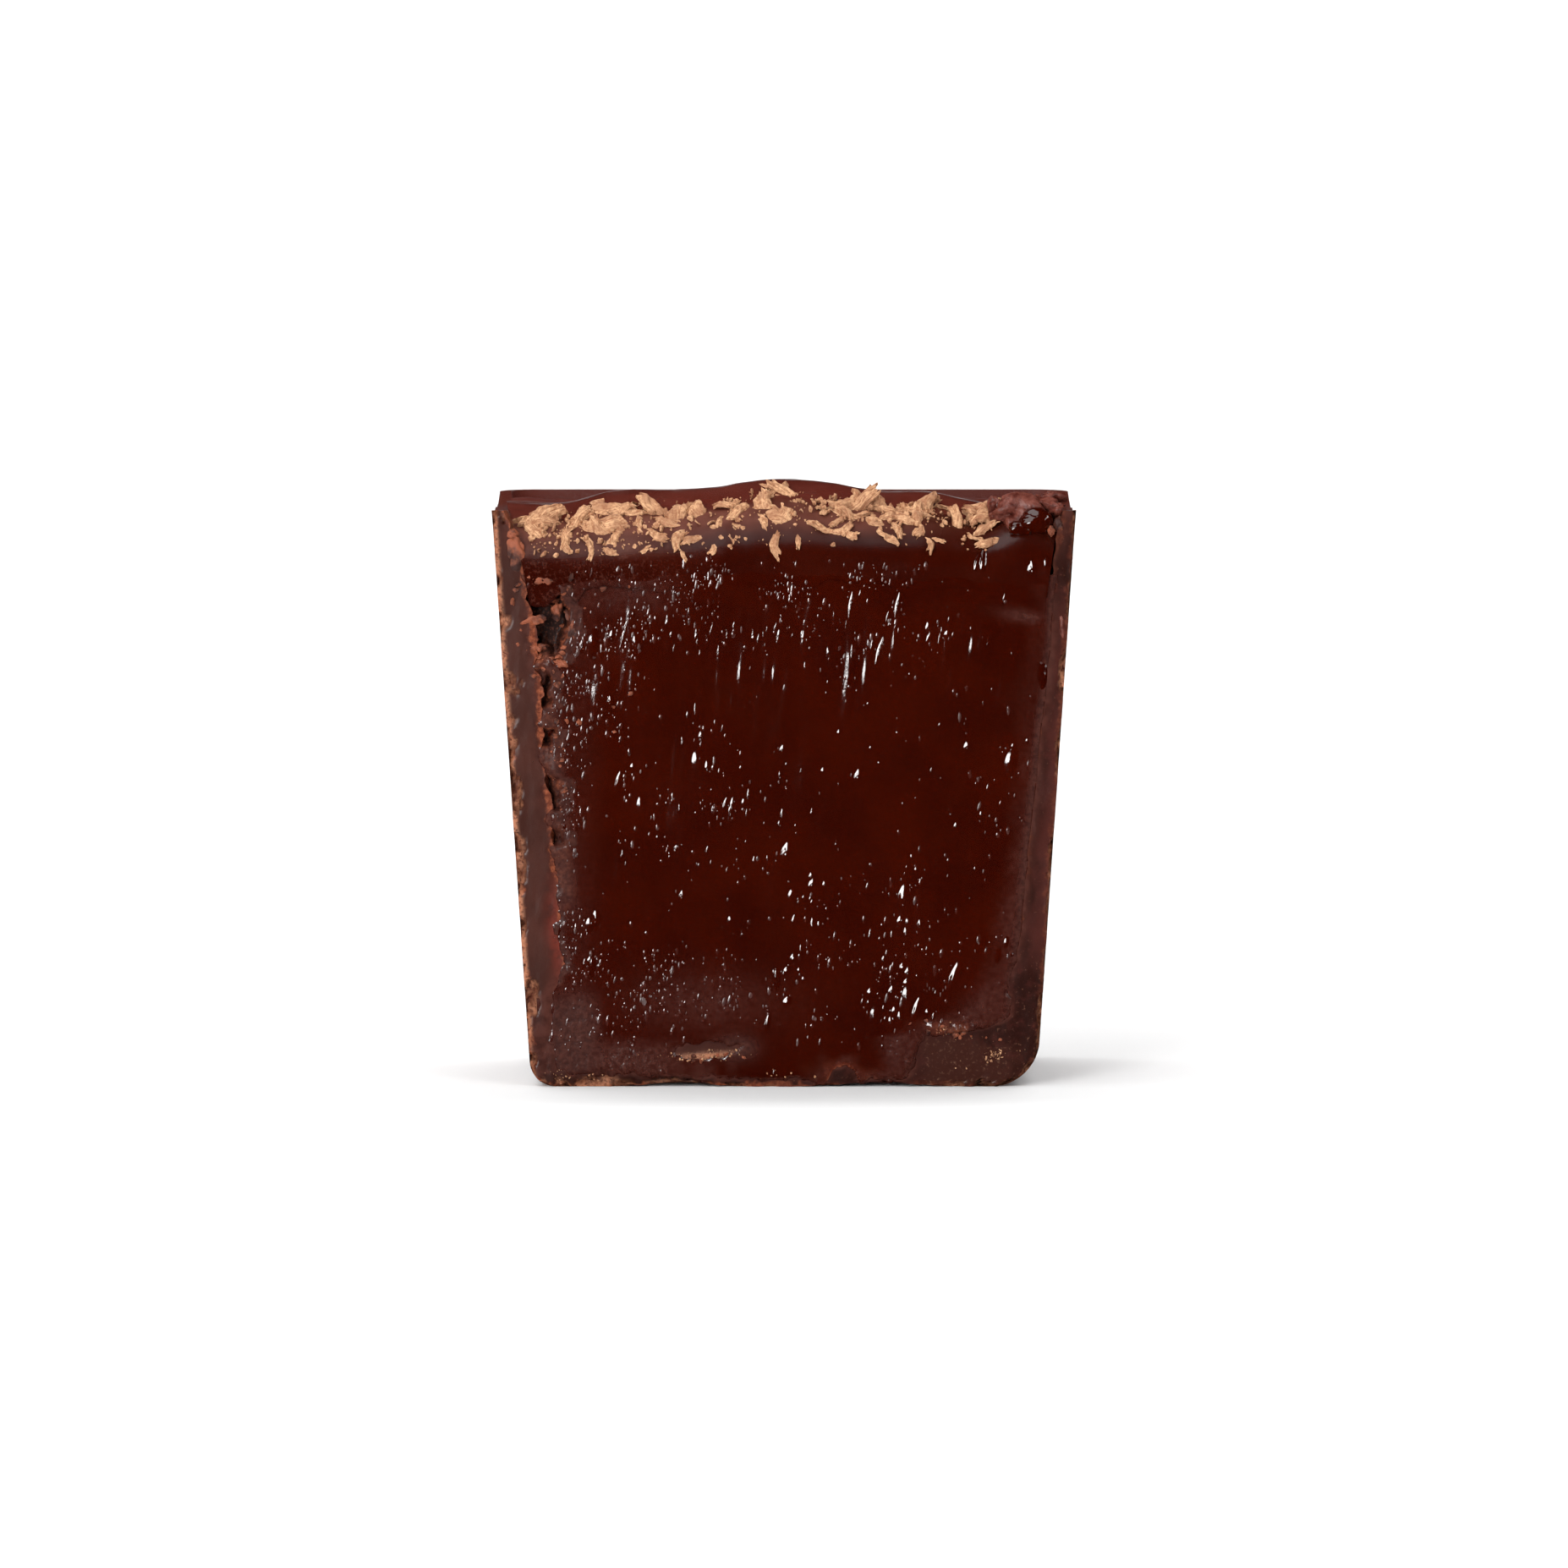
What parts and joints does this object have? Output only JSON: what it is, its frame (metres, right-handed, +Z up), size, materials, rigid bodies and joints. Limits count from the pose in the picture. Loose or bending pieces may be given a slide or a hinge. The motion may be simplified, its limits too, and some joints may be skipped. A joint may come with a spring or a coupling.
{
  "type": "half chocolate cup bonbon",
  "caption": "Half of a square tapered chocolate cup bonbon, cut open to show its thin shell, glossy ganache filling and a waved ganache cap strewn with chocolate flakes",
  "frame": {"origin": "middle of the whole width and depth, at the foot that the cup stands on", "axes": "+Z up; -Y out of the cut face, towards whoever looks at the filling; +X to the right of the cut face"},
  "size_m": [0.026, 0.0134, 0.0272],
  "materials": {
    "cup_chocolate": "satin dark chocolate, scuffed at its edges",
    "filling_ganache": "wet glossy ganache, dragged by a knife",
    "cap_ganache": "poured glossy ganache",
    "flakes": "matte shaved milk chocolate"
  },
  "bodies": {
    "root": {"cup": "cup_chocolate", "filling": "filling_ganache", "topping": "cap_ganache"}
  },
  "joints": []
}
